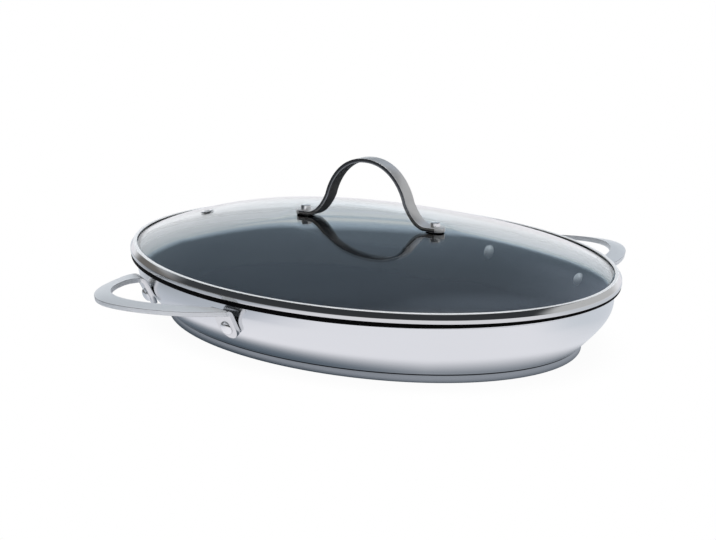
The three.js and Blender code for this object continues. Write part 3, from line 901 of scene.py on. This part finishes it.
fasteners = {}
for end, spot in screw_spots.items():
    here = Matrix.Translation(spot)
    fasteners["screw_" + end] = put(turned("pin_" + end, screw_profile), here)
    for layer, height in (("upper", CROWN_TOP), ("lower", nut_top)):
        ring = turned(layer + "_pad_" + end, washer_profile + washer_profile[:1])
        ring_place = Matrix.Translation(spot + Vector((0, 0, height)))
        fasteners[layer + "_washer_" + end] = put(ring, ring_place)
    fasteners["cap_nut_" + end] = put(turned("dome_nut_" + end, nut_profile), here)


# Finishes on the pieces

WALL_STEEL = polished_steel("wall_steel", 0.80, 0.16, -0.022)
BAND_STEEL = polished_steel("band_steel", 0.70, 0.08)
# Painted highlight: a near-white, mostly matt copy of the band steel along the band's upper edge
BAND_HIGHLIGHT = satin_steel("band_highlight", 0.93, 0.30, metal=0.25)
SCREW_STEEL = polished_steel("screw_steel", 0.80, 0.16)
STUD_STEEL = polished_steel("stud_steel", 0.88, 0.22)
# Painted light: a near-white, mostly matt copy of the stud steel that keeps the inner heads bright under
# the lid
STUD_INNER_LIT = satin_steel("stud_inner_lit", 0.98, 0.24, metal=0.2)
LOOP_STEEL = satin_steel("loop_steel", 0.80, 0.38, -0.03, metal=0.5)
# Painted shade: a darker copy of the loop steel on the rounded edges, which draws thin dark lines along
# them
LOOP_EDGE_SHADE = polished_steel("loop_edge_shade", 0.35, 0.15)
TAB_STEEL = polished_steel("tab_steel", 0.76, 0.20)
# Lit and shaded copies of the arch steel: painted highlight on the rounded upper edges, painted shade on
# the sides and darker painted shade underneath
ARCH_STEEL = satin_steel("arch_steel", 0.62, 0.30, metal=0.65)
ARCH_SIDE_SHADE = polished_steel("arch_side", 0.36, 0.12)
ARCH_EDGE_HIGHLIGHT = satin_steel("arch_edge_highlight", 0.95, 0.30, metal=0.2)
ARCH_UNDER_SHADE = satin_steel("arch_under_shade", 0.17, 0.42, metal=0.5)
# Its upper edge gets a line of painted shade where it meets the pan.
BASE_STEEL = satin_steel("base_steel", 0.33, 0.30, -0.09, shaded_joint=BASE_HEIGHT)
LINING_STEEL = satin_steel("lining_steel", 0.84, 0.40, metal=0.5)
COATING = coated("coating")
SILICONE = rubber("silicone")
CLEAR_GLASS = clear_glass("clear_glass")
CORE_ALUMINIUM = satin_steel("core_aluminium", 0.72, 0.5)


def fit_out(piece, material, slot, body, *nodes):
    piece.data.materials.clear()
    piece.data.materials.append(material)
    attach(piece, body)
    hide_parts(*nodes)


def refinish(piece, material, chosen):
    """Gives the chosen faces a finish of their own."""
    piece.data.materials.append(material)
    for face in piece.data.polygons:
        if chosen(face):
            face.material_index = len(piece.data.materials) - 1


def facing_middle(face):
    """Whether a face of an oval looks at its axis."""
    return face.normal.xy.dot(face.center.xy) < 0


def bare_lining(face):
    """The inside of the wall, which shows above the coating."""
    return face.center.z > 20 * MM and facing_middle(face)


fit_out(pan_shell, WALL_STEEL, "polished_steel", "pan", "pan_body")
refinish(pan_shell, LINING_STEEL, bare_lining)
fit_out(coat_skin, COATING, "nonstick", "pan", "nonstick_coating")
fit_out(base_disc, BASE_STEEL, "base_steel", "pan", "base_cap")

loop_root = Vector(rear_half[fold_end][0]) * MM


def rounded_edge(face):
    """The edges of a loop, which get painted shade."""
    return 0.2 < abs(face.normal.z) < 0.965


def fold_or_tab(face):
    """The ends of a side handle, from the fold down."""
    away = Vector((abs(face.center.x), abs(face.center.y), 0)) - loop_root
    return away.dot(TAB_OUT) < 0


fit_out(loop_right, LOOP_STEEL, "satin_steel", "pan", "handle_right")
fit_out(loop_left, LOOP_STEEL, "satin_steel", "pan", "handle_left")
for loop in (loop_right, loop_left):
    # painted shade on the rounded edges
    refinish(loop, LOOP_EDGE_SHADE, rounded_edge)
    refinish(loop, TAB_STEEL, fold_or_tab)
for end, piece in studs.items():
    fit_out(piece, STUD_STEEL, "polished_steel", "pan", "rivet_" + end)
    outwards = rivet_places[end].to_3x3().col[2]
    # painted light on the inner heads
    refinish(piece, STUD_INNER_LIT, lambda face: face.normal.dot(outwards) < -0.05)


def bright_rim(face):
    """The upper edge of the band, which gets a painted highlight."""
    upper = face.center.z > (BAND_TOP - BAND_THICK) * MM
    return upper and (face.normal.z > 0.72 or facing_middle(face))


fit_out(seal_ring, SILICONE, "seal_rubber", "lid", "lid_seal")
fit_out(rim_band, BAND_STEEL, "polished_steel", "lid", "lid_band")
refinish(rim_band, BAND_HIGHLIGHT, bright_rim)
fit_out(glass_dome, CLEAR_GLASS, "lid_glass", "lid", "lid_glass")


def sideways(face):
    return abs(face.normal.dot(arch_side))


def arch_inner(face):
    """Whether a face looks at the middle of the arch."""
    return face.normal.dot(face.center - Vector((0, 0, foot_bottom * MM))) < 0


def arch_rounding(face):
    """The rounded upper edges of the arch, which get a painted highlight."""
    return 0.15 < sideways(face) < 0.985 and not arch_inner(face)


fit_out(lid_arch, ARCH_STEEL, "satin_steel", "lid", "lid_handle")
# Painted highlight on the rounded edges, painted shade on the sides and underneath
refinish(lid_arch, ARCH_EDGE_HIGHLIGHT, arch_rounding)
refinish(lid_arch, ARCH_SIDE_SHADE, lambda face: sideways(face) > 0.5 and not arch_rounding(face))
refinish(lid_arch, ARCH_UNDER_SHADE, lambda face: sideways(face) <= 0.5 and arch_inner(face))
fit_out(vent_ring, SCREW_STEEL, "polished_steel", "lid", "vent_eyelet")
for node, piece in fasteners.items():
    if "washer" in node:
        fit_out(piece, SILICONE, "seal_rubber", "lid", node)
    else:
        fit_out(piece, SCREW_STEEL, "polished_steel", "lid", node)
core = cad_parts["base_core"]
core.data.materials.clear()
core.data.materials.append(CORE_ALUMINIUM)


# The floor: white to the camera and through the glass, while the steel mirrors painted shade and painted
# tones in it

WHITE = (1, 1, 1, 1)
FLOOR_WHITE = (0.88, 0.88, 0.88, 1)
# Painted shade that only the steel mirrors, round the base, in place of the floor's shadow there
FOOT_SHADE = (0.12, 0.15, 0.185, 1)     # mirrored round the base
# Painted reflections: floor tones that only the steel mirrors, bluish grey on the right, and on the left
# going dark as painted shade under the handle
RIGHT_PAINTED_TONE = (0.70, 0.73, 0.78, 1)
LEFT_PAINTED_TONES = (
    (0.04, (0.91, 0.90, 0.94)),
    (0.16, (0.80, 0.80, 0.85)),
    (0.27, (0.54, 0.57, 0.63)),
    (0.44, (0.50, 0.53, 0.58)),
    (0.64, (0.06, 0.065, 0.075)),
)
FOOT_OVAL = (1 / 0.114, 1 / 0.168, 1)   # scales the floor so that near is 1 just outside the base

bpy.ops.object.select_all(action="DESELECT")
bpy.ops.mesh.primitive_circle_add(vertices=96, radius=6, fill_type="NGON", location=(0, 0, -0.3 * MM))
floor = bpy.context.object
floor.name = "floor"
bpy.ops.object.transform_apply(location=True)

white, n = finish("white_floor")
spot = n.add("ShaderNodeTexCoord", output="Object")
near = n.add("ShaderNodeVectorMath", {"operation": "LENGTH"}, {0: n.place(FOOT_OVAL)}, output="Value")
across = n.part(spot, "X")
through_glass = n.ray("Transmission")
mirror_ray = n.ray("Glossy") * (1 - through_glass)
to_left = n.towards(spot, (-0.5, 0.87, 0))
painted_tones = n.ramp(to_left * across.between(-0.02, -0.11) * 2, LEFT_PAINTED_TONES)
to_right = n.towards(spot, (1, 0.5, 0))
painted_tones = n.mix(to_right.between(-0.10, 0.09) * near.between(3.9, 3.0), painted_tones, RIGHT_PAINTED_TONE)
past_middle = n.towards(spot, ASIDE).most(0.03) - 0.03
# The mask of the painted shade round the base, which only mirror rays see
foot = near + across * 0.45 - past_middle * 0.5
mirrored = n.mix(foot.between(0.93, 1.025), FOOT_SHADE, painted_tones)
plain = n.add("ShaderNodeEmission", {}, {"Color": n.mix(mirror_ray, WHITE, mirrored), "Strength": 1.0})
lit = n.add("ShaderNodeBsdfDiffuse", {}, {"Color": FLOOR_WHITE})
faint_shadow = n.ray("Camera") * (near.between(1.0, 1.25) * 0.04 + 0.96)
shining = mirror_ray.most(faint_shadow).most(through_glass * 0.8)
n.surface(n.add("ShaderNodeMixShader", {}, {0: shining, 1: lit, 2: plain}))
floor.data.materials.append(white)


# The room: white to the camera, while steel and glass mirror the tones of a studio

studio = bpy.data.worlds.new("studio")
bpy.context.scene.world = studio
studio.use_nodes = True
w = Nodes(studio.node_tree, "ShaderNodeOutputWorld")
way = w.add("ShaderNodeTexCoord", output="Generated")


def backdrop(level, *stops):
    """Colours by elevation: 0.5 level, 1 straight up."""
    low, high = stops[0][0], stops[-1][0]
    spread = [((at - low) / (high - low), colour) for at, colour in stops]
    return w.ramp((level - low) * (1 / (high - low)), spread)


height = w.part(way, "Z")
elevation = height * 0.5 + 0.5
ahead = w.towards(way, AHEAD)
aside = w.towards(way, ASIDE)
# The edge of the dark upper half of the rear backdrop runs over the lid as a slanting, curved line.
past = aside.most(0.06) - 0.06
dip = (0.014 - (aside + 0.1) * (aside + 0.1) * 2.5).most(0)
behind = backdrop(
    elevation + aside * 0.18 - past * past * elevation.between(0.8, 0.6) * 2 - dip,
    (0.5, (0.96, 0.97, 1.0)),
    (0.575, (0.90, 0.95, 1.0)),
    (0.580, (0.84, 0.91, 0.98)),
    (0.5845, (0.92, 0.98, 1.0)),
    (0.588, (0.62, 0.73, 0.83)),
    (0.592, (0.94, 1.0, 1.0)),
    (0.595, (0.58, 0.70, 0.80)),
    (0.599, (0.48, 0.60, 0.71)),
    (0.606, (0.17, 0.215, 0.26)),
    (0.64, (0.155, 0.195, 0.24)),
    (0.74, (0.165, 0.205, 0.25)),
    (0.83, (0.22, 0.265, 0.32)),
    (0.91, (0.80, 0.95, 1.15)),
)
before = backdrop(
    elevation,
    (0.53, (1, 1, 1)),
    (0.56, (0.06, 0.065, 0.07)),
    (0.88, (0.04, 0.042, 0.046)),
    (0.95, (0.9, 0.91, 0.93)),
)
right_rear = aside.between(0.1, 0.4) * elevation.between(0.61, 0.65)
behind = w.mix(right_rear, behind, (0.40, 0.47, 0.58, 1))
sky = w.mix(ahead.between(0.45, 0.85), before, behind)
far_left = aside.between(-0.40, -0.55) * elevation.between(0.64, 0.59)
sky = w.mix(far_left, sky, (0.19, 0.18, 0.17, 1))
window = w.towards(way, (0.956, -0.151, 0.252)).between(0.70, 0.90) * height.between(0.62, 0.5)
sky = w.mix(window, sky, (0.62, 0.62, 0.62, 1))
colour = w.mix(w.ray("Camera"), sky, WHITE)
w.surface(w.add("ShaderNodeBackground", {}, {"Color": colour, "Strength": 1.0}))


# Lamp and camera

LAMP_AT = Vector((0.1, 0.2, 2.0))
softbox = bpy.data.lights.new("overhead", "AREA")
softbox.shape = "RECTANGLE"
softbox.size, softbox.size_y = 1.7, 1.7
softbox.energy = 34
lamp = bpy.data.objects.new("overhead", softbox)
bpy.context.scene.collection.objects.link(lamp)
lamp.location = LAMP_AT
lamp.rotation_euler = (-LAMP_AT).to_track_quat("-Z", "Y").to_euler()
lamp.visible_glossy = lamp.visible_transmission = False     # steel and glass mirror the ceiling instead

CAMERA_AT = (-0.87887, -1.52430, 0.39899)
CAMERA_WAY = Vector((0.48567, 0.85018, -0.20327))
lens = bpy.data.cameras.new("photo_camera")
lens.sensor_width = 36
lens.lens = 146.97
camera = bpy.data.objects.new("photo_camera", lens)
bpy.context.scene.collection.objects.link(camera)
camera.location = CAMERA_AT
camera.rotation_euler = CAMERA_WAY.to_track_quat("-Z", "Y").to_euler()
bpy.context.scene.camera = camera

bpy.context.scene.view_settings.view_transform = "Standard"
